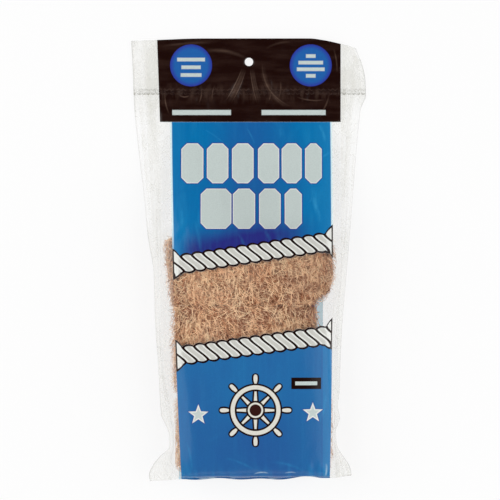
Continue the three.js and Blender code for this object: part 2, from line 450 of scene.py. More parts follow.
def line_mark(x, y, start, end, bend, width):
    """A thin bent line between two points: 1 along its middle, 0 a width away, and fading to its ends."""
    (start_x, start_y), (end_x, end_y) = start, end
    turn = math.atan2(end_y - start_y, end_x - start_x)
    half = math.hypot(end_x - start_x, end_y - start_y) / 2.0
    dx, dy = x - (start_x + end_x) / 2.0, y - (start_y + end_y) / 2.0
    along = dx * (math.cos(turn) / half) + dy * (math.sin(turn) / half)
    beside = dy * math.cos(turn) - dx * math.sin(turn)
    ends = 1.0 - along * along
    off = abs(beside - ends * bend) / width
    return (1.0 - off).most(0.0) * ends.most(0.0)


def fold_marks(x, y, folds):
    """The strongest of many thin lines, each given by its two ends, its bend, its width and its strength."""
    strongest = None
    for start, end, bend, width, strength in folds:
        mark = line_mark(x, y, start, end, bend, width) * strength
        strongest = mark if strongest is None else strongest.most(mark)
    return strongest


def seal_marks(x, y):
    """The crimped seal: a zigzag line near its top and short dashes at its foot, each a triangle wave."""
    wave = (x * (1.0 / CRIMP_PITCH)).math("PINGPONG", 1.0)
    zigzag = abs(y - (seal_top - 1.4) - wave * 1.3).under(0.32, 0.2)
    broken = (x * (0.37 / CRIMP_PITCH)).math("PINGPONG", 1.0).over(0.22, 0.1)
    dashes = abs(y - (seal_low + 0.7) - wave * 0.9).under(0.36, 0.2) * wave.under(0.72, 0.1)
    return zigzag * broken, dashes


def star_distance(x, y, middle, radius):
    """How far a point lies outside a five-pointed star: folded into half of one point, then measured."""
    dx, dy, far = from_middle(x, y, middle)
    fold = dx.math("ARCTAN2", dy).math("PINGPONG", math.pi / 5.0)
    waist = STAR_WAIST * radius
    edge = np.array([waist * math.sin(math.pi / 5.0), radius - waist * math.cos(math.pi / 5.0)])
    edge /= np.linalg.norm(edge)
    return (far * fold.math("COSINE") - radius) * edge[0] + far * fold.sine() * edge[1]


def wheel_parts(x, y):
    """How far a point lies outside a ship's wheel's spokes, handles, rim and hub, in painting order.
    It is first folded into half of one of eight spokes. Spokes narrow outwards, and handles have a belly."""
    dx, dy, far = from_middle(x, y, WHEEL)
    fold = dy.math("ARCTAN2", dx).math("PINGPONG", math.pi / 8.0)
    along, off = far * fold.math("COSINE"), far * fold.sine()
    spoke = (off - (SPOKE_HALF - along * SPOKE_TAPER)).most(along - SPOKE_END)
    past = (along - HANDLE_END).most(0.0)
    from_belly = along - HANDLE_BELLY
    thick = (HANDLE_HALF - from_belly * from_belly * HANDLE_CURVE).most(HANDLE_THIN)
    handle = ((off * off + past * past).math("SQRT") - thick).most(HANDLE_START - along)
    rim = abs(far - RIM_MIDDLE) - RIM_HALF
    return [spoke, handle, rim, far - HUB_RADIUS], far


def printed_film():
    """Clear film with its print. Ink is opaque; bare film is nearly clear, greyer along its creases."""
    f = new_finish("printed_film")
    spot, x, y = f.place()
    haze, painted_shade, glint = f.mark("haze"), f.mark("painted_shade"), f.mark("glint")
    rim, level = f.mark("rim"), f.mark("level")
    left, right = panel_edges(y)
    near_side = x.between(left, right)
    in_panel = near_side.over(0.0) * y.under(HEADER_FOOT)
    header_left = HEADER_LEFT - (y - HEADER_FOOT) * HEADER_LEAN
    in_header = (x - header_left).over(0.0) * x.under(HEADER_RIGHT) * y.over(HEADER_FOOT)
    # Near-black header with a painted brown sheen along its wrinkles, and two blue discs.
    sheen_noise = f.noise(spot, (30.0, 6.0, 20.0), 4.0, 0.6)
    # Painted sheen: brown patches and crease glints over the black ink.
    colour = f.mix(sheen_noise.over(0.6, 0.16) * 0.32 + glint * 0.2, BLACK_INK, BROWN_SHEEN)
    for middle, bars in DISCS:
        dx, dy, far = from_middle(x, y, middle)
        worn = f.noise(spot, (5.0, 5.0, 5.0), 3.0)
        face = f.mix(far.over(DISC_RADIUS * 0.87, 1.6) * 0.85 + worn * 0.15, DISC_BLUE, DISC_RIM)
        for rise_up, half in bars:
            bar = (BAR_HALF - abs(dy - rise_up)).least(half - abs(dx)).over(0.0, 0.25)
            face = f.mix(bar, face, PALE_INK)
        colour = f.mix(far.under(DISC_RADIUS), colour, face)
    for start, end in HEADER_BARS:
        bar = (HEADER_BAR_HALF - abs(y - HEADER_BAR_HEIGHT)).least(x.between(start, end)).over(0.0, 0.25)
        colour = f.mix(bar, colour, PALE_INK)
    # Painted highlights on the header: light brown lines along its folds, a band of sheen across it, and the
    # seal's crimp marks.
    folds = fold_marks(x, y, HEADER_FOLDS)
    zigzag, dashes = seal_marks(x, y)
    sheen_band = f.noise(spot, (3.4, 9.0, 6.0), 2.0, 0.5).over(0.58, 0.1) * abs(y - 124.5).under(5.0, 4.0)
    lit = (folds * sheen_noise.over(0.36, 0.3)).most(sheen_band * 0.12).most(zigzag * 0.14).most(dashes * 0.1)
    colour = f.mix(lit, colour, FOLD_HIGHLIGHT)
    # Blue panel: painted lighter towards its sides and in streaks, with painted shade where the film leans
    # down past the upper pad.
    cloud = f.noise(spot, (34.0, 60.0, 30.0), 3.0)
    streak = f.noise(spot, (3.0, 42.0, 10.0), 4.0, 0.55)
    blue = f.mix(y.under(-20.0, 40.0), PANEL_BLUE, PANEL_LOW)
    blue = f.mix((painted_shade + (cloud - 0.5) * 0.5).math("ADD", 0.0, clamp=True), blue, PANEL_DEEP)
    light = near_side.under(6.0, 7.0) * 0.16 + streak.over(0.62, 0.14) * 0.08 + glint * 0.3
    light = light + x.over(46.0, 14.0) * y.over(10.0, 24.0) * 0.14
    # Painted highlights along soft wrinkles in the blue film.
    wisp_highlights = fold_marks(x, y, PANEL_FOLD_GLINTS)
    wisp_highlights = wisp_highlights * f.noise(spot, (3.0, 9.0, 6.0), 3.0, 0.6).over(0.42, 0.2) * level
    blue = f.mix((light + wisp_highlights).least(1.0), blue, PANEL_LIGHT)
    # Painted highlights on the puckered bottom lap, broken up by noise.
    glint_breaks = f.noise(spot, (4.0, 1.6, 6.0), 3.0, 0.6).over(0.36, 0.14)
    blue = f.mix(fold_marks(x, y, BOTTOM_GLINTS) * level * glint_breaks, blue, EDGE_LIGHT)
    # A fold low down near the right side: a painted highlight beside it and a painted shade line along it.
    side_fold = x.over(SIDE_FOLD, 0.2) * y.under(SIDE_FOLD_TOP, 4.0)
    blue = f.mix(side_fold * 0.16, blue, PANEL_LIGHT)
    blue = f.mix(abs(x - SIDE_FOLD).under(0.5, 0.4) * side_fold * 0.5, blue, PANEL_DEEP)
    blue = f.mix(near_side.under(1.25, 0.3) * y.over(12.0, 14.0) * 0.95, blue, EDGE_LIGHT)
    colour = f.mix(y.under(HEADER_FOOT), colour, blue)
    # Pale tiles in two rows.
    for low, high, spans in TILE_ROWS:
        depth = y.between(low, high)
        for start, end in spans:
            inset = x.between(start, end)
            corner = (inset + depth - TILE_CHAMFER) * 0.707
            inside = inset.least(depth).least(corner)
            pale = f.mix(inside.under(0.55, 0.25), PALE_INK, WHITE_INK)
            colour = f.mix(inside.over(-0.65, 0.3) * 0.75, colour, PANEL_DEEP)
            colour = f.mix(inside.over(0.0), colour, pale)
    # Painted shade: the lower tiles darker where the film slopes down.
    colour = f.mix((painted_shade * 0.2 * y.under(54.0, 4.0)).least(0.2), colour, DARK_SPECK_AND_SHADE)
    # Ship's wheel, two stars and a dark label with a plain bar.
    parts, far = wheel_parts(x, y)
    for part in parts:
        colour = f.mix(part.under(OUTLINE), colour, BLACK_INK)
        colour = f.mix(part.under(0.0), colour, CREAM_INK)
    colour = f.mix(far.under(CORE_RADIUS), colour, BROWN_CORE)
    for middle in STARS:
        star = star_distance(x, y, middle, STAR_RADIUS)
        colour = f.mix(star.under(0.5, 0.25) * 0.5, colour, PANEL_DEEP)
        colour = f.mix(star.under(0.0), colour, f.mix(star.under(-0.8, 0.3), WHITE_INK, PALE_INK))
    box_left, box_right, box_low, box_high = LABEL_BOX
    in_label = x.between(box_left, box_right).least(y.between(box_low, box_high))
    colour = f.mix(in_label.over(0.0), colour, BLACK_INK)
    colour = f.mix(in_label.over(LABEL_FRAME), colour, PALE_INK)
    # Twisted bands above and below the clear window.
    clear = None
    banded = None
    for foot, slope, start in BANDS:
        body, lines, off = band_shapes(x, y, foot, slope, start, near_side)
        strand = f.mix(off.under(0.44, 0.1) * near_side.over(4.5, 1.0), WHITE_INK, STRAND_GREY)
        colour = f.mix(body, colour, strand)
        colour = f.mix(lines, colour, BLACK_INK)
        shown = body.most(lines)
        banded = shown if banded is None else banded.most(shown)
        side = y - x * slope - foot
        clear = side.under(0.0) if clear is None else clear * side.over(0.0)
    inked = (in_panel * (1.0 - clear * (1.0 - banded))).most(in_header)
    # Bare film: grey in its creases, with a darker crimped seal.
    crumple = f.noise(spot, (9.0, 17.0, 9.0), 2.0, 0.4)
    facet = abs(crumple - 0.5).under(0.012, 0.014) * f.noise(spot, (14.0, 14.0, 9.0), 2.0).over(0.5, 0.1)
    crinkle = abs(f.noise(spot, (4.5, 8.0, 5.0), 2.0, 0.5) - 0.5).under(0.016, 0.018)
    facet = facet.most(crinkle * f.noise(spot, (18.0, 24.0, 12.0), 1.0).over(0.48, 0.12) * 0.7)
    in_seal = y.between(seal_low, seal_top).over(0.3, 0.3)
    grit = f.noise(spot, (0.9, 0.7, 0.8), 1.0).over(0.54, 0.05) * in_seal
    crimped = (zigzag * 0.5).most(dashes).most(grit * 0.6)
    bare = f.mix(glint.least(1.0), CLEAR_GREY, GLINT_WHITE)
    bare = f.mix(crimped.most(rim * 0.7), bare, SEAM_GREY)
    beside = near_side.under(0.0, 0.3) * y.under(SIDE_VEIL_TOP, 8.0)
    veil = (haze * (crumple.over(0.5, 0.1) * 0.9 + 0.4)).most(beside * SIDE_VEIL)
    veil = veil + facet * 0.3 * haze.over(0.04, 0.02) + crimped * 0.5 + rim * 0.24
    # Fine dark specks in the ink.
    speck = f.noise(spot, (0.9, 0.9, 0.9), 2.0, 0.6)
    colour = f.mix(speck.over(0.56, 0.2) * 0.1, colour, DARK_SPECK_AND_SHADE)
    colour = f.mix(inked, bare, colour)
    fine = f.noise(spot, (1.6, 5.0, 3.0), 3.0)
    return f.surface({
        "Base Color": colour,
        "Alpha": inked.most(veil.least(0.85)),
        "Roughness": f.noise(spot, (9.0, 22.0, 12.0), 3.0) * 0.2 + 0.1,
        "Normal": f.bump(fine + folds * 1.6 + crimped * 1.2, 0.14, 0.6),
        "IOR": FILM_BEND,
        "Specular IOR Level": FILM_GLOSS,
    })


def back_film():
    """Back of the bag: clear margins round a plain blue field, a dark header and a bare pale panel."""
    f = new_finish("back_film")
    spot, x, y = f.place()
    haze = f.mark("haze")
    in_header = x.over(-BACK_HEADER_HALF) * x.under(BACK_HEADER_HALF) * y.over(HEADER_FOOT)
    inside = BACK_FIELD_HALF - abs(x)
    in_field = inside.over(0.0) * y.under(HEADER_FOOT)
    cloud = f.noise(spot, (30.0, 50.0, 30.0), 3.0)
    streak = f.noise(spot, (3.0, 42.0, 10.0), 4.0, 0.55)
    blue = f.mix(cloud, PANEL_BLUE, PANEL_DEEP)
    # Painted sheen: lighter streaks on the blue field.
    blue = f.mix(streak.over(0.6, 0.14) * 0.25, blue, PANEL_LIGHT)
    # A pale cyan border round the field, painted bright as if lit on the film's inner side.
    at_side = inside.under(BACK_BORDER_WIDTH, 1.0)
    blue = f.mix(at_side, blue, BACK_BORDER_LIT)
    inset = (BACK_PANEL_HALF - abs(x)).least(y.between(BACK_PANEL_LOW, BACK_PANEL_HIGH))
    colour = f.mix(inset.over(0.0), blue, PALE_INK)
    # Dark header with a painted brown sheen in patches.
    dark = f.mix(cloud.over(0.55, 0.2) * 0.5, BLACK_INK, BROWN_SHEEN)
    colour = f.mix(y.over(HEADER_FOOT), colour, dark)
    inked = in_header.most(in_field * (1.0 - at_side * 0.45))
    colour = f.mix(in_header.most(in_field), CLEAR_GREY, colour)
    fine = f.noise(spot, (1.6, 5.0, 3.0), 3.0)
    return f.surface({
        "Base Color": colour,
        "Alpha": inked.most(haze).most(y.under(SIDE_VEIL_TOP, 8.0) * SIDE_VEIL),
        "Roughness": f.noise(spot, (9.0, 22.0, 12.0), 3.0) * 0.22 + 0.16,
        "Normal": f.bump(fine, 0.12, 0.5),
        "IOR": FILM_BEND,
        "Specular IOR Level": FILM_GLOSS,
    })


def bronze_wool():
    """Matted bronze shavings: each strand has its own shade, lighter for the broad strands on top, and is
    varied in tufts.
    Painted shade darkens it deep in the mat, in the gaps between tufts and towards the right.
    """
    f = new_finish("bronze_wool")
    spot, x, _ = f.place()
    shade, depth = f.mark("shade"), f.mark("depth")
    grain = f.noise(spot, (0.7, 0.7, 0.7), 3.0, 0.6)
    fibre = f.noise(spot, (1.1, 3.4, 1.2), 4.0, 0.65)
    tuft = f.noise(spot, (2.6, 5.6, 2.4), 3.0, 0.6)
    stain = f.noise(spot, (14.0, 14.0, 10.0), 3.0)
    # Painted highlights: the broad strands on top and bright tufts lighter.
    bright = (shade * 0.75 + fibre.over(0.5, 0.12) * 0.2 + tuft.over(0.52, 0.1) * 0.5).least(1.0)
    colour = f.mix(bright, WOOL_BROWN, WOOL_LIGHT)
    colour = f.mix(stain.over(0.56, 0.14) * 0.25, colour, WOOL_COPPER)
    # Painted shade: deep in the mat, between tufts and towards the right.
    dark = depth * 0.8 + tuft.under(0.44, 0.09) * 0.52 + x.over(28.0, 34.0) * 0.2
    colour = f.mix(dark.least(0.85), colour, WOOL_SHADE)
    return f.surface({
        "Base Color": colour,
        "Metallic": 0.08,
        "Roughness": grain * 0.25 + 0.32,
        "Normal": f.bump(fibre, 0.25, 0.6),
    })


# The bag's film.
SIDE_CELLS = 62
FIN_CELLS = 13
END_CELLS = 30
LAP_CELLS = 4
BODY_CELL = 1.25
SEAL_CELLS = 16
HEADER_CELLS = 31
HOLE_CELLS = (2, 3)
CLOSING_POWER = 1.5
LAP_SHIFT_REACH = 5.0
LAP_WAVE, LAP_WAVE_LENGTH = 0.5, 5.1
FALL_PLACE, FALL_POWER = 0.42, 2.8
LAY_FLAT_LENGTH = 30.0
MARGIN_WIDTH, MARGIN_DROOP = 24.0, 7.0
FLAT_SHARE = 1.04
LEAST_HEIGHT = 0.03
# Creases round the hang hole: direction in degrees, length, height and bend.
HOLE_CREASES = [
    (-117, 36, 0.55, 0.05), (-111, 40, 0.5, 0.08), (-84, 34, 0.45, -0.05), (-58, 44, 0.6, -0.22),
    (-38, 40, 0.35, -0.1), (-150, 46, 0.35, 0.1), (160, 40, 0.3, 0.05), (25, 36, 0.3, -0.08),
]


def along_pads(values, y):
    """A value for each pad, eased from one pad's middle to the next along the bag."""
    middles = [(low[1] + high[1]) / 2.0 for low, high in pad_boxes]
    total = np.full(np.shape(y), float(values[0]))
    for before, after, start, end in zip(values[:-1], values[1:], middles[:-1], middles[1:]):
        total = total + (after - before) * rise(start, end, y)
    return total


def film_grid():
    """Places of the film's grid across and along the bag.
    Columns close up towards the swell's two sides, and rows towards its lower end and in the seal.
    Round the hang hole the grid's square rings are drawn onto circles. The places along are given before and
    after the top and bottom edges are drawn onto their curves."""
    closing = 1.0 - (1.0 - np.linspace(0.0, 1.0, SIDE_CELLS + 1)) ** CLOSING_POWER
    across = np.concatenate([np.full(FIN_CELLS, -1.0), -closing[::-1], closing[1:], np.full(FIN_CELLS, 1.0)])
    fin = np.linspace(0.0, 1.0, FIN_CELLS + 1)
    out_left = np.concatenate([fin[::-1], np.zeros(2 * SIDE_CELLS + FIN_CELLS)])
    first_middle = (pad_boxes[0][0][1] + pad_boxes[0][1][1]) / 2.0
    lap_end = bottom + BOTTOM_LAP
    end_share = 1.0 - (1.0 - np.linspace(1, 0, END_CELLS + 1)) ** CLOSING_POWER
    end_rows = first_middle - (first_middle - lap_end) * end_share
    body_cells = int(round((seal_low - first_middle) / BODY_CELL))
    rows = np.concatenate([
        np.linspace(bottom, lap_end, LAP_CELLS + 1)[:-1], end_rows[:-1],
        np.linspace(first_middle, seal_low, body_cells + 1)[:-1],
        np.linspace(seal_low, seal_top, SEAL_CELLS + 1)[:-1],
        np.linspace(seal_top, bag_high[1], HEADER_CELLS + 1),
    ])
    y = np.repeat(rows[:, None], len(across), 1)
    middle, reach = swell(rows)
    left, right = curve_through(LEFT_EDGE, rows), curve_through(RIGHT_EDGE, rows)
    x = (middle[:, None] + reach[:, None] * across + out_left * (left - middle + reach)[:, None]
         + out_left[::-1] * (right - middle - reach)[:, None])
    straight = y
    y = y + (curve_through(TOP_EDGE, x) - bag_high[1]) * rise(seal_top, bag_high[1], y)
    wave = LAP_WAVE * np.sin(x / LAP_WAVE_LENGTH) * rise(58.0, 50.0, np.abs(x))
    y = y + (curve_through(BOTTOM_EDGE, x) + wave - bottom) * rise(bottom + LAP_SHIFT_REACH, bottom, y)
    row = np.argmin(abs(y[:, FIN_CELLS + SIDE_CELLS] - hole_middle[1]))
    column = np.argmin(abs(x[row] - hole_middle[0]))
    ring = np.maximum(abs(np.arange(len(across)) - column)[None, :] / HOLE_CELLS[0],
                      abs(np.arange(len(rows)) - row)[:, None] / HOLE_CELLS[1])
    turn = np.arctan2(y - y[row, column], x - x[row, column])
    keep = rise(1.0, 4.0, ring)
    x = x * keep + (hole_middle[0] + HOLE_RADIUS * ring * np.cos(turn)) * (1.0 - keep)
    y = y * keep + (hole_middle[1] + HOLE_RADIUS * ring * np.sin(turn)) * (1.0 - keep)
    return x, y, straight, ring


def swell(y):
    """Middle and reach across the bag of the film's swell over the pads."""
    middle = along_pads([(low[0] + high[0]) / 2.0 for low, high in pad_boxes], y)
    halves = [(high[0] - low[0]) / 2.0 for low, high in pad_boxes]
    halves[1] = max(halves[1], (halves[0] + halves[2]) / 2.0)
    return middle, along_pads(halves, y) + WOOL_ROOM


def upright_crease(draw, x, y, lean, half, width, height, bend):
    """A crease near upright at a place, with a random lean, half length, width, height and bend."""
    return (x, y, math.pi / 2 + draw.normal(0, lean), draw.uniform(*half), draw.uniform(*width),
            draw.uniform(*height), draw.normal(0, bend))


def film_creases():
    """Lines of the film's creases: a fan round the hang hole, puckers along the seal and the bottom edge,
    loose creases in the empty film above the pads, and fainter ones over the pads."""
    draw = np.random.default_rng(11)
    lines = []
    for degrees, length, height, bend in HOLE_CREASES:
        turn = math.radians(degrees)
        far = HOLE_RADIUS + length / 2.0
        x, y = hole_middle + far * np.array([math.cos(turn), math.sin(turn)])
        lines.append((x, y, turn, length / 2.0, 1.5, height, bend))
    for place in np.arange(-82.0, 82.0, 5.2):
        x, y = place + draw.uniform(-2, 2), seal_low + draw.uniform(-6, 8)
        lines.append(upright_crease(draw, x, y, 0.2, (6, 15), (1.3, 2.6), (0.15, 0.5), 0.1))
    for place in np.arange(-72.0, 74.0, 4.4):
        x, y = place + draw.uniform(-1.5, 1.5), bottom + 5.0
        lines.append(upright_crease(draw, x, y, 0.15, (7, 16), (1.2, 2.2), (0.2, 0.8), 0.1))
    for _ in range(36):
        x, y = draw.uniform(-60, 60), draw.uniform(10, 120)
        lines.append(upright_crease(draw, x, y, 0.45, (12, 34), (1.6, 4.0), (-0.5, 0.6), 0.15))
    for _ in range(26):
        x, y = draw.uniform(-58, 58), draw.uniform(-160, 10)
        lines.append(upright_crease(draw, x, y, 0.8, (8, 26), (1.6, 3.5), (-0.3, 0.4), 0.15))
    return lines


def margin_folds(out, y, seed):
    """Long folds down a clear margin: bells across it, at places that wander slowly along the bag."""
    draw = np.random.default_rng(seed)
    folds = np.zeros(out.shape)
    for place in (0.16, 0.36, 0.55, 0.8):
        wander = place + 0.06 * np.sin(y / draw.uniform(18, 40) + draw.uniform(0, 6))
        strength = 0.6 + 0.4 * np.sin(y / draw.uniform(14, 30) + draw.uniform(0, 6))
        folds += strength * np.exp(-((out - wander) / draw.uniform(0.05, 0.09)) ** 2)
    return folds


def film_heights(x, y):
    """Front film and back film at a place, before creases, and how far up the swell's round form it lies.
    Front: the side folds' height plus a rounded swell over the pads, which falls off to the seal past them.
    Back: the same swell downwards, laid flat on the ground."""
    middle, reach = swell(y)
    first_low, first_high = pad_boxes[0]
    last_low, last_high = pad_boxes[-1]
    first_middle = (first_low[1] + first_high[1]) / 2.0
    last_middle = (last_low[1] + last_high[1]) / 2.0
    tall = (first_high[2] - first_low[2]) / 2.0 + WOOL_ROOM * 0.8
    mid_height = (first_high[2] + first_low[2]) / 2.0
    past = np.clip((y - last_middle) / (seal_low - last_middle), 0.0, 1.0)
    fall = 1.0 / (1.0 + (past / FALL_PLACE) ** FALL_POWER)
    last_fall = 1.0 / (1.0 + (1.0 / FALL_PLACE) ** FALL_POWER)
    fall = np.where(y > last_middle, (fall - last_fall) / (1.0 - last_fall), 1.0)
    lower_end = round_height((first_middle - y) / (first_middle - first_low[1] + WOOL_ROOM))
    upper_end = round_height((y - last_middle) / (last_high[1] - last_middle + WOOL_ROOM))
    full = np.where(y < first_middle, lower_end, 1.0)
    lie = 1.0 - rise(seal_low - LAY_FLAT_LENGTH, seal_low, y)
    out = np.clip((np.abs(x - middle) - reach) / MARGIN_WIDTH, 0.0, 1.0)
    fold = FILM_GAP + 0.1 + (mid_height - FILM_GAP - 0.1) * (1.0 - rise(last_high[1] - 14.0, seal_low, y))
    fold = fold - MARGIN_DROOP * out * lie
    across = round_height((x - middle) / reach)
    rising = np.where(y > last_middle, np.maximum(tall * fall, tall * upper_end), tall * full)
    front = fold + FILM_GAP + np.maximum(0.0, rising - FILM_GAP) * across
    down = np.where(y < first_middle, tall * full, fold - FILM_GAP)
    back = fold - FILM_GAP - np.maximum(0.0, down * FLAT_SHARE - FILM_GAP) * across
    return front, back, across


def film_marks(x, y, share, folds, crease, crimp, front):
    """Marks for the finish: haze of the clear film, painted shade of the blue, painted highlights along
    creases and the crimp, the bag's rim, and how level the front lies along the bag."""
    middle, reach = swell(y)
    stripe = rise(0.0, 0.12, share) * rise(0.62, 0.5, share)
    rim = np.exp(-((share - 1.0) / 0.05) ** 2) * (share > 0)
    margin = share > 0
    beside = rise(reach - 11.0, reach - 4.0, np.abs(x - middle)) * rise(1.0, 0.0, share)
    headwards = rise(seal_low - 24.0, seal_top, y)
    haze = 0.025 + (0.03 + 0.06 * rise(10.0, 40.0, y)) * beside
    haze = haze + margin * (0.05 * stripe + 0.16 * folds + 0.14 * headwards)
    haze = np.clip(haze + 0.2 * np.abs(crease) * margin, 0.02, 0.7)
    foot, slope, _ = BANDS[0]
    lean = np.exp(-((y - foot - slope * x - 9.0) / 11.0) ** 2) * rise(-56.0, -42.0, x) * rise(62.0, 8.0, x)
    # Painted shade of the blue: a deep band where the film leans down past the upper pad, more in the middle
    # and towards the lower end.
    painted_shade = 0.04 + 0.9 * lean + 0.3 * rise(-30.0, 40.0, y) * np.exp(-(x / 30.0) ** 2)
    painted_shade = painted_shade + (0.08 + 0.16 * np.exp(-(x / 42.0) ** 2)) * rise(-90.0, -135.0, y)
    # Painted highlights along the creases and the crimped seal.
    glint = np.clip(0.9 * np.abs(crease) - 0.12, 0.0, 1.0) + 0.35 * np.clip(crimp, 0.0, 1.0)
    steep = np.abs(np.gradient(front, axis=0)) / np.maximum(np.abs(np.gradient(y, axis=0)), 1e-6)
    return {"haze": haze, "painted_shade": painted_shade, "glint": glint, "rim": rim, "level": rise(1.7, 0.8, steep)}


def bag_film():
    """The bag as one closed film, front and back joined round the edge and in the hang hole.
    Heights come from film_heights, plus creases, long folds in the margins, and the crimped seal's waves."""
    x, y, straight, ring = film_grid()
    rows, columns = x.shape
    front, back, across = film_heights(x, straight)
    crease = creases(x, y, film_creases())
    left_edge, right_edge = x[:, :1], x[:, -1:]
    inner_left, inner_right = x[:, FIN_CELLS][:, None], x[:, -FIN_CELLS - 1][:, None]
    share_left = np.clip((inner_left - x) / (inner_left - left_edge), 0.0, 1.0)
    share_right = np.clip((x - inner_right) / (right_edge - inner_right), 0.0, 1.0)
    share = share_left + share_right
    folds = np.where(share_left > 0, margin_folds(share_left, y, 5), 0.0)
    folds = folds + np.where(share_right > 0, margin_folds(share_right, y, 6), 0.0)
    crimp_reach = rise(seal_low - 0.3, seal_low + 0.6, y) * rise(seal_top + 0.3, seal_top - 0.6, y)
    tooth = np.abs(((x / 4.7 + 0.25 * np.sin(x / 31.0)) % 1.0) * 2.0 - 1.0)
    crimp = crimp_reach * np.cos(2.0 * math.pi * ((y - seal_low) / 2.5 + 0.5 * tooth))
    lift = 0.3 * ripple(np.stack([x, y], -1), [46.0, 31.0, 23.0, 17.0, 38.0], 3) + crease
    header = rise(seal_low - 18.0, seal_top, y)
    lie = 1.0 - rise(seal_low - LAY_FLAT_LENGTH, seal_low, y)
    curl = 1.6 * rise(seal_top + 8.0, bag_high[1], y) * (0.5 + 0.5 * np.sin(x / 29.0 + 0.8))
    shared = np.maximum(header * (1.1 + lift + 0.22 * crimp + curl), 0.0) + 0.35 * folds * (0.25 + lie)
    loose = rise(pad_boxes[-1][1][1] - 4.0, pad_boxes[-1][1][1] + 16.0, y)
    over_wool = np.maximum(lift, -0.3)
    body_lift = over_wool + (lift - over_wool) * loose
    front = front + shared + (1.0 - header) * body_lift * (0.35 + 0.65 * across)
    back = np.maximum(np.minimum(back + shared, front - 2.0 * FILM_GAP), LEAST_HEIGHT)
    front = np.maximum(front, back + 2.0 * FILM_GAP)
    # Faces, with the hang hole left open, and the joining strips.
    numbers = np.arange(rows * columns).reshape(rows, columns)
    sheet = cells(numbers)[cells(ring).max(-1) > 1.0 + 1e-6]
    layer = rows * columns
    loop = border(numbers)
    edge = np.stack([loop, loop + layer, np.roll(loop, -1) + layer, np.roll(loop, -1)], -1)
    in_hole = ring <= 1.0 + 1e-6
    rim = border(numbers[np.ix_(in_hole.any(1), in_hole.any(0))])
    inner = np.stack([rim, np.roll(rim, -1), np.roll(rim, -1) + layer, rim + layer], -1)
    faces = np.concatenate([sheet, sheet[:, ::-1] + layer, edge, inner])
    side = np.concatenate([np.zeros(len(sheet)), np.ones(len(sheet)), np.zeros(len(edge) + len(inner))])
    points = np.concatenate([np.stack([x, y, z], -1).reshape(-1, 3) for z in (front, back)])
    used = np.zeros(len(points), bool)
    used[faces.ravel()] = True
    renumber = np.cumsum(used) - 1
    # Flat map: the front fills the left half and the back the right half.
    width, length = bag_high[0] - bag_low[0] + 8.0, bag_high[1] - bag_low[1] + 2.0
    flat = np.stack([(points[:, 0] + width / 2.0) / width * 0.5, (points[:, 1] + length / 2.0) / length], -1)
    flat[layer:, 0] += 0.5
    marks = [(label, np.concatenate([v.ravel(), v.ravel()])[used])
             for label, v in film_marks(x, y, share, folds, crease, crimp, front).items()]
    piece = make_mesh("bag_film", points[used], [renumber[faces]], [printed_film(), back_film()], side,
                      [("OFBake", flat[faces.ravel()])], marks)
    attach(piece, "root")
    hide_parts("bag")
    return piece


# The wool pads.
STRANDS = 7000
STRAND_POINTS = 5
BROAD_SHARE = 0.34
CROSSING = 8.0
LOOSE_SHARE = 0.6
LOOSE_REACH = 7.2
FLATNESS = 0.55
BASE_RINGS, BASE_SIDES = 64, 92
BASE_INSET = 1.2
FILM_ROOM = 0.55
SIDE_ROOM = 0.7
END_ROOM = 1.1
END_TRIM = [(1.6, 1.6, 3.0, 3.0), (0.2, 1.6, 2.8, 2.8), (1.7, 6.2, 5.2, 4.4)]
CUT_FOOT, CUT_TOP = (43.0, -35.0), (62.0, -20.5)
CUT_SHARE = 0.9
CUT_FRINGE = 7.0
SQUARE_POWER = 24.0
CORNER_EASE = 21.3
PLAN_POWER = 6.0


def block_size(points, half, outer):
    """How big a pad's rounded block would be to reach each point, 1 being the pad itself.
    Across, and at an outer end, it is rounded as the film is. Towards a neighbour it is nearly square, but
    not at the upper pad's right corner. Each is a root of a sum of powers of shares of half sizes."""
    share = np.abs(points / half) + 1e-9
    upright = share[..., 2] ** ROUNDING
    beside = (share[..., 0] ** ROUNDING + upright) ** (1.0 / ROUNDING)
    corner = rise(0.2, 0.55, points[..., 0] / half[0] / share.sum(-1)) if outer > 0 else 0.0
    square = SQUARE_POWER - CORNER_EASE * corner
    neighbour = (beside ** square + share[..., 1] ** square) ** (1.0 / square)
    plan = (share[..., 0] ** PLAN_POWER + share[..., 1] ** PLAN_POWER) ** (ROUNDING / PLAN_POWER)
    end = (plan + upright) ** (1.0 / ROUNDING)
    return np.where(points[..., 1] * outer > 0.0, end, neighbour)


def rounded_block(points, half, outer):
    """Pushes points straight out from the middle onto the pad's rounded block."""
    return points / block_size(points, half, outer)[..., None]


def outwards(points, half, outer):
    """Unit normals of the pad's rounded block: its size's slope along each axis, from points close by."""
    nudges = np.eye(3) * 0.05
    slope = np.stack([
        block_size(points + nudge, half, outer) - block_size(points - nudge, half, outer) for nudge in nudges
    ], -1)
    return slope / np.linalg.norm(slope, axis=-1, keepdims=True)


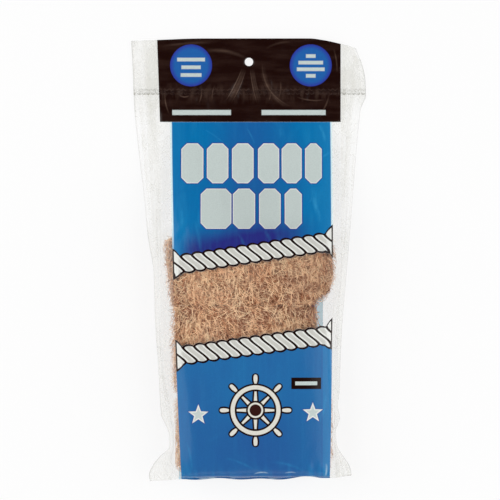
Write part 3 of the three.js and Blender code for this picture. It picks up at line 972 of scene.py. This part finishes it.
def wool_base(half, outer, seed):
    """The mat under the strands: rings round the long axis, pushed out to the block, with random lumps."""
    turn = np.linspace(0.0, math.pi, BASE_RINGS + 1)[1:-1, None]
    around = np.linspace(0.0, 2.0 * math.pi, BASE_SIDES, endpoint=False)[None, :]
    wide = np.sin(turn)
    ball = np.stack(np.broadcast_arrays(-np.cos(turn), wide * np.cos(around), wide * np.sin(around)), -1)
    rings = ball.reshape(-1, 3)
    ends = np.array([[-1.0, 0.0, 0.0], [1.0, 0.0, 0.0]])
    shape = rounded_block(np.concatenate([rings, ends]) * half, half, outer)
    lumps = 0.45 * ripple(shape, [26.0, 19.0, 14.0, 11.0, 8.0], seed)
    lumps = lumps + 0.2 * ripple(shape, [6.0, 5.0, 4.0, 7.0], seed + 1)
    normal = outwards(shape, half, outer)
    shut = np.where(shape[:, 1] * outer > 0.0, 0.0, rise(0.5, 0.9, np.abs(normal[:, 1])))
    ragged = 1.0 + 2.4 * rise(0.4, 0.9, np.abs(normal[:, 0]))
    shape = shape + normal * ((lumps * ragged - BASE_INSET) * (1.0 - shut))[:, None]
    count = BASE_RINGS - 1
    numbers = np.arange(count * BASE_SIDES).reshape(count, BASE_SIDES)
    wrapped = np.concatenate([numbers, numbers[:, :1]], 1)
    quads = cells(wrapped).reshape(-1, 4)
    low, high = len(rings), len(rings) + 1
    start = np.stack([np.full(BASE_SIDES, low), wrapped[0, 1:], wrapped[0, :-1]], -1)
    finish = np.stack([np.full(BASE_SIDES, high), wrapped[-1, :-1], wrapped[-1, 1:]], -1)
    place_u = np.linspace(0.02, 0.48, BASE_SIDES + 1)
    place_v = np.linspace(0.02, 0.98, BASE_RINGS + 1)
    grid_u, grid_v = np.meshgrid(place_u, place_v[1:-1])
    quad_map = np.stack([cells(grid_u), cells(grid_v)], -1)
    middle_u = (place_u[1:] + place_u[:-1]) / 2.0
    start_map = np.stack([np.stack([middle_u, place_u[1:], place_u[:-1]], -1),
                          np.broadcast_to(place_v[[0, 1, 1]], (BASE_SIDES, 3))], -1)
    finish_map = np.stack([np.stack([middle_u, place_u[:-1], place_u[1:]], -1),
                           np.broadcast_to(place_v[[-1, -2, -2]], (BASE_SIDES, 3))], -1)
    return shape, quads, np.concatenate([start, finish]), quad_map, np.concatenate([start_map, finish_map])


def wool_strands(half, outer, seed):
    """Curved strands that creep over the rounded block: each steps along it in a slowly turning direction, is
    pushed back onto it and lifted in a low arch. Each is a flat three-sided tube, closed at its thin ends."""
    draw = np.random.default_rng(seed)
    long, wide, tall = half
    areas = np.array([wide * tall * 4.4, long * tall * 0.4, long * wide * 0.2, long * wide * 1.9])
    face = draw.choice(4, STRANDS, p=areas / areas.sum())
    start = draw.uniform(-1.0, 1.0, (STRANDS, 3))
    side = np.sign(draw.uniform(-1.0, 1.0, STRANDS))
    start[face == 0, 0] = side[face == 0]
    start[face == 1, 1] = side[face == 1]
    start[face == 2, 2] = -1.0
    start[face == 3, 2] = 1.0
    spot = rounded_block(start * half, half, outer)
    length = draw.uniform(5.0, 14.0, STRANDS) * draw.choice([0.9, 1.0, 1.4, 2.2], STRANDS)
    step = length / (STRAND_POINTS - 1)
    flow = -1.2 + 0.6 * np.sin(spot[:, 0] / 15.0 + draw.uniform(0, 6))
    flow = flow + 0.45 * np.sin(spot[:, 1] / 11.0 + draw.uniform(0, 6))
    angle = flow + draw.normal(0.0, 0.85, STRANDS)
    bend = draw.normal(0.0, 0.33, STRANDS)
    path, up = [], []
    for _ in range(STRAND_POINTS):
        normal = outwards(spot, half, outer)
        path.append(spot)
        up.append(normal)
        first = np.cross(np.broadcast_to([0.0, 1.0, 0.0], normal.shape), normal)
        first = first + 1e-6
        first /= np.linalg.norm(first, axis=-1, keepdims=True)
        second = np.cross(normal, first)
        way = first * np.cos(angle)[:, None] + second * np.sin(angle)[:, None]
        spot = rounded_block(spot + way * step[:, None], half, outer)
        angle = angle + bend + draw.normal(0.0, 0.08, STRANDS)
    path, up = np.stack(path, 1), np.stack(up, 1)
    edge_share = rise(half[1] - 10.0, half[1] - 2.0, np.abs(path[:, 0, 1])) * ((face == 3) | (face == 0))
    towards = np.sign(path[:, 0, 1]) * (path[:, 0, 1] * outer <= 0.0)
    path[:, :, 1] += (towards * edge_share * draw.uniform(0.0, CROSSING, STRANDS))[:, None]
    t = np.linspace(0.0, 1.0, STRAND_POINTS)
    arch = draw.uniform(0.1, 1.0, STRANDS) ** 1.5
    broad = draw.uniform(0.0, 1.0, STRANDS) < BROAD_SHARE
    level = np.where(broad, draw.uniform(-0.5, 0.0, STRANDS), draw.uniform(-1.1, -0.4, STRANDS))
    loose = (face == 0) & (draw.uniform(0.0, 1.0, STRANDS) < LOOSE_SHARE)
    stray = np.where(loose, draw.uniform(0.1, 1.0, STRANDS) ** 1.6 * LOOSE_REACH, 0.0)
    bow, droop = np.sin(math.pi * t) ** 0.8 * 1.3, 0.35 * np.abs(2.0 * t - 1.0) ** 3
    lift = level[:, None] + arch[:, None] * bow - droop
    path = path + up * np.minimum(lift, 1.5)[:, :, None]
    path[:, :, 0] += np.sign(path[:, :1, 0]) * stray[:, None] * t ** 1.3
    tangent = np.gradient(path, axis=1)
    tangent /= np.linalg.norm(tangent, axis=-1, keepdims=True)
    beside = np.cross(tangent, up)
    radius = np.where(broad | loose, draw.uniform(0.18, 0.32, STRANDS), draw.uniform(0.1, 0.18, STRANDS))
    radius = radius[:, None] * (0.3 + 0.7 * np.sin(math.pi * t) ** 0.5)
    turns = math.pi / 2.0 + np.arange(3) * 2.0 * math.pi / 3.0
    ring = beside[:, :, None] * np.cos(turns)[:, None] + up[:, :, None] * np.sin(turns)[:, None] * FLATNESS
    points = path[:, :, None] + ring * radius[:, :, None, None]
    numbers = np.arange(STRANDS * STRAND_POINTS * 3).reshape(STRANDS, STRAND_POINTS, 3)
    wrapped = np.concatenate([numbers, numbers[:, :, :1]], 2)
    quads = cells(wrapped)
    caps = np.stack([numbers[:, 0, ::-1], numbers[:, -1]], 1)
    # Flat map: each strand has a patch of its own, in rows that fill the right half.
    patches = math.ceil(math.sqrt(STRANDS * 2.0)) // 2
    row, column = np.divmod(np.arange(STRANDS), patches)
    at_u = 0.51 + (column[:, None, None] + 0.15 + 0.7 * np.arange(4) / 3.0) / patches * 0.48
    at_v = (row[:, None, None] + 0.15 + 0.7 * t[:, None]) / math.ceil(STRANDS / patches)
    at_u, at_v = np.broadcast_arrays(at_u, at_v)
    spread = np.stack([at_u, at_v], -1)
    quad_map = np.stack([cells(at_u), cells(at_v)], -1)
    cap_map = np.stack([spread[:, 0, 2::-1], spread[:, -1, :3]], 1)
    # Broad strands lie higher and get light shades, thin ones lower get dark ones: partly each strand's own
    # tone, partly painted light and shade.
    shade = np.where(broad, draw.uniform(0.7, 1.0, STRANDS), draw.uniform(0.0, 0.55, STRANDS))
    shade = np.repeat(shade, STRAND_POINTS * 3)
    # How far each point lies below the top, which the finish darkens as painted shade.
    depth = np.repeat(np.clip(-0.2 - lift, 0.0, 1.0).ravel(), 3)
    return (points.reshape(-1, 3), quads.reshape(-1, 4), caps.reshape(-1, 3), quad_map.reshape(-1, 2),
            cap_map.reshape(-1, 2), shade, depth)


def wool_pad(number, wool):
    """One folded pad: a lumpy mat with strands all over it, trimmed at its ends and kept inside the film."""
    low, high = pad_boxes[number]
    middle, half = (low + high) / 2.0, (high - low) / 2.0
    outer = number - 1
    mat, mat_quads, mat_ends, mat_map, end_map = wool_base(half, outer, 40 + number)
    hairs, quads, caps, hair_map, cap_map, shade, depth = wool_strands(half, outer, 70 + number)
    first = len(mat)
    points = np.concatenate([mat, hairs])
    left_high, left_low, right_high, right_low = END_TRIM[number]
    up_pad = np.clip(points[:, 1] / half[1] * 0.5 + 0.5, 0.0, 1.0)
    share = points[:, 0] / half[0]
    trim_left = left_low + (left_high - left_low) * up_pad
    trim_right = right_low + (right_high - right_low) * up_pad
    trim = np.where(share < 0.0, trim_left, trim_right)
    points[:, 0] -= trim * share ** 3
    points = points + middle
    if outer > 0:
        slant = (CUT_TOP[0] - CUT_FOOT[0]) / (CUT_TOP[1] - CUT_FOOT[1])
        fringe = np.random.default_rng(90).uniform(-1.0, 1.0, STRANDS) ** 3 * CUT_FRINGE
        fringe = np.concatenate([np.full(first, -2.0), np.repeat(fringe, STRAND_POINTS * 3)])
        limit = CUT_FOOT[0] + (points[:, 1] - CUT_FOOT[1]) * slant + fringe
        points[:, 0] -= np.maximum(points[:, 0] - limit, 0.0) * CUT_SHARE
    lowest = low[1] + END_ROOM if outer < 0 else low[1] - CROSSING
    highest = high[1] if outer > 0 else high[1] + CROSSING
    points[:, 1] = np.clip(points[:, 1], lowest, highest)
    swell_middle, reach = swell(points[:, 1])
    points[:, 0] = np.clip(points[:, 0], swell_middle - reach + SIDE_ROOM, swell_middle + reach - SIDE_ROOM)
    roof, ground, _ = film_heights(points[:, 0], points[:, 1])
    points[:, 2] = np.maximum(np.minimum(points[:, 2], roof - FILM_ROOM), np.maximum(ground, 0.0) + FILM_ROOM)
    maps = np.concatenate([mat_map.reshape(-1, 2), hair_map, end_map.reshape(-1, 2), cap_map])
    # The mat under the strands gets a dark shade and full depth: painted shade.
    marks = [("shade", np.concatenate([np.full(first, 0.2), shade])),
             ("depth", np.concatenate([np.ones(first), depth]))]
    facets = [np.ones(len(mat_quads)), np.zeros(len(quads)), np.ones(len(mat_ends)), np.zeros(len(caps))]
    smooth = np.concatenate(facets).astype(bool)
    faces = [mat_quads, quads + first, mat_ends, caps + first]
    name = PAD_NODES[number] + "_wool"
    piece = make_mesh(name, points, faces, [wool], None, [("OFBake", maps)], marks, smooth)
    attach(piece, "root")
    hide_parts(PAD_NODES[number])
    return piece


bag_film()
wool = bronze_wool()
for number in range(len(PAD_NODES)):
    wool_pad(number, wool)

# Floor, light and camera.
FLOOR_SIZE = 12000.0
FLOOR_DROP = 0.4
FLOOR_GLOW = 0.84
PICTURE_MIDDLE = (-0.7, 7.1)
PICTURE_WIDTH = 375.0
CAMERA_HEIGHT = 5200.0
SENSOR_WIDTH = 36.0
ROOM_SIDE, ROOM_TOP = 0.62, 0.06


def pale_floor():
    """White floor that shows itself evenly to the camera and still takes a soft shadow."""
    f = new_finish("pale_floor")
    path = f.node("ShaderNodeLightPath", {}, {})
    straight, glossy, through = [Value(f, path.outputs["Is " + kind + " Ray"])
                                 for kind in ("Camera", "Glossy", "Transmission")]
    seen = straight.most(glossy).most(through)
    matte = f.node("ShaderNodeBsdfDiffuse", {}, {"Color": (0.9, 0.9, 0.9, 1.0)})
    glow = f.node("ShaderNodeEmission", {}, {"Color": (1.0, 1.0, 1.0, 1.0), "Strength": 1.0})
    shown = f.node("ShaderNodeMixShader", {}, {0: seen * FLOOR_GLOW, 1: matte.outputs[0], 2: glow.outputs[0]})
    f.node("ShaderNodeOutputMaterial", {}, {"Surface": shown.outputs[0]})
    return f.owner


corners = np.array([[-1, -1, 0], [1, -1, 0], [1, 1, 0], [-1, 1, 0]]) * FLOOR_SIZE / 2.0
corners = corners - [0.0, 0.0, FLOOR_DROP]
floor = make_mesh("floor", corners, [np.array([[0, 1, 2, 3]])], [pale_floor()])


def soft_lamp(name, place, width, length, power):
    """A large soft lamp that faces the bag's middle."""
    lamp = bpy.data.lights.new(name, "AREA")
    lamp.shape = "RECTANGLE"
    lamp.size, lamp.size_y = width * MM, length * MM
    lamp.energy = power
    holder = bpy.data.objects.new(name, lamp)
    holder.location = [step * MM for step in place]
    holder.rotation_mode = "QUATERNION"
    holder.rotation_quaternion = Vector(place).to_track_quat("Z", "Y")
    bpy.context.scene.collection.objects.link(holder)


soft_lamp("lamp_left", (-1450.0, 350.0, 1050.0), 1900.0, 1900.0, 29.0)
soft_lamp("lamp_right", (1450.0, -120.0, 1000.0), 1700.0, 1900.0, 25.0)
soft_lamp("lamp_near", (100.0, -1400.0, 500.0), 1400.0, 500.0, 4.0)

world = bpy.data.worlds.new("soft_room")
bpy.context.scene.world = world
room = Finish(world)
facing = room.node("ShaderNodeTexCoord", {}, {}).outputs["Generated"]
upright = room.node("ShaderNodeSeparateXYZ", {}, {0: facing}).outputs["Z"]
limits = {"From Min": 0.0, "From Max": 1.0, "To Min": ROOM_SIDE, "To Max": ROOM_TOP}
dim_above = room.node("ShaderNodeMapRange", {}, {"Value": upright, **limits}).outputs[0]
seen = room.node("ShaderNodeLightPath", {}, {}).outputs["Is Camera Ray"]
strength = room.node("ShaderNodeMix", {}, {"Factor": seen, "A": dim_above, "B": 1.0}).outputs[0]
white_room = room.node("ShaderNodeBackground", {}, {"Color": (1.0, 1.0, 1.0, 1.0), "Strength": strength})
room.node("ShaderNodeOutputWorld", {}, {"Surface": white_room.outputs[0]})

eye = bpy.data.cameras.new("camera")
eye.sensor_width = SENSOR_WIDTH
eye.lens = SENSOR_WIDTH * CAMERA_HEIGHT / PICTURE_WIDTH
eye.clip_start, eye.clip_end = 0.5, 30.0
camera = bpy.data.objects.new("camera", eye)
camera.location = (PICTURE_MIDDLE[0] * MM, PICTURE_MIDDLE[1] * MM, CAMERA_HEIGHT * MM)
bpy.context.scene.collection.objects.link(camera)
bpy.context.scene.camera = camera
bpy.context.scene.view_settings.view_transform = "Standard"
